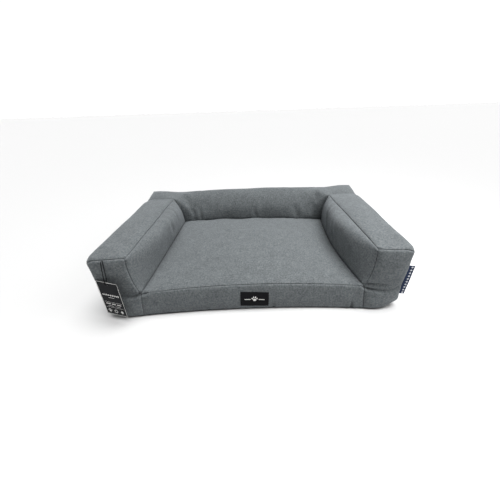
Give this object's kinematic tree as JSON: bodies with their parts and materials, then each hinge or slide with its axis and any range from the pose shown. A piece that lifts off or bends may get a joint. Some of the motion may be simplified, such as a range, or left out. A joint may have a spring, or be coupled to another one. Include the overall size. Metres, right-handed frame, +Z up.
{
  "type": "pet bed",
  "caption": "Rectangular padded pet bed with a raised bolster along the back and both sides, open at the front, in a grey woven fabric cover with a rear zip, sewn labels and a hang tag.",
  "frame": {"origin": "centre of the flat resting face under the base", "axes": "+X to the right seen from the open front, +Y to the back bolster, +Z up"},
  "size_m": [0.7985, 0.5567, 0.176],
  "materials": {
    "upholstery": "brushed woven polyester, mottled blue-grey, matt with a soft nap",
    "non_slip_base": "black non-woven base cloth with small rubber grip dots",
    "foam": "open-cell cream upholstery foam",
    "fibre_fill": "white polyester fibre wadding",
    "lining": "thin grey non-woven lining",
    "zip_tape": "ribbed woven polyester tape",
    "zip_coil": "nylon coil, satin",
    "zip_metal": "gunmetal plated die-cast zinc, satin",
    "woven_label": "black damask woven label with off-white thread motif",
    "woven_tab": "navy woven ribbon folded double, with off-white thread motif",
    "printed_card": null,
    "tag_cord": "black braided polyester cord"
  },
  "bodies": {
    "bed": {"bottom_panel": "non_slip_base", "base_foam": "foam", "seat_wadding": "fibre_fill", "deck_lining": "lining", "seat_panel": "upholstery", "front_band": "upholstery", "left_arm_fill": "fibre_fill", "right_arm_fill": "fibre_fill", "back_bolster_fill": "fibre_fill", "left_arm_top_panel": "upholstery", "right_arm_top_panel": "upholstery", "left_arm_inner_panel": "upholstery", "right_arm_inner_panel": "upholstery", "left_arm_front_panel": "upholstery", "right_arm_front_panel": "upholstery", "left_side_panel": "upholstery", "right_side_panel": "upholstery", "left_back_end_panel": "upholstery", "right_back_end_panel": "upholstery", "back_bolster_panel": "upholstery", "rear_panel": "upholstery", "rear_lower_band": "upholstery", "upper_zip_tape": "zip_tape", "lower_zip_tape": "zip_tape", "zip_coils": "zip_coil", "zip_stops": "zip_metal", "front_label": "woven_label"},
    "slider": {"zip_slider": "zip_metal"},
    "pull": {"zip_pull": "zip_metal"},
    "tab": {"side_tab": "woven_tab"},
    "tag_loop": {"hang_tag_cord": "tag_cord"},
    "tag": {"hang_tag": "printed_card"}
  },
  "joints": [
    {"name": "zip_slide", "type": "slide", "parent": "bed", "child": "slider", "axis": [1, 0, 0], "range_m": [-0.616, 0]},
    {"name": "zip_pull_swing", "type": "hinge", "parent": "slider", "child": "pull", "pos_m": [0.311, 0.2588, 0.034], "axis": [0, 0, -1], "range_deg": [0, 170]},
    {"name": "side_tab_flex", "type": "hinge", "parent": "bed", "child": "tab", "pos_m": [0.3925, -0.2538, 0.081], "axis": [0, 0, 1], "range_deg": [-60, 30], "stiffness_Nm_per_rad": 0.002},
    {"name": "hang_tag_swing", "type": "hinge", "parent": "bed", "child": "tag_loop", "pos_m": [-0.352, -0.2565, 0.171], "axis": [-1, 0, 0], "range_deg": [0, 75]},
    {"name": "hang_tag_twist", "type": "hinge", "parent": "tag_loop", "child": "tag", "pos_m": [-0.354, -0.276, 0.114], "axis": [0, 0, 1], "range_deg": [0, 32]}
  ]
}
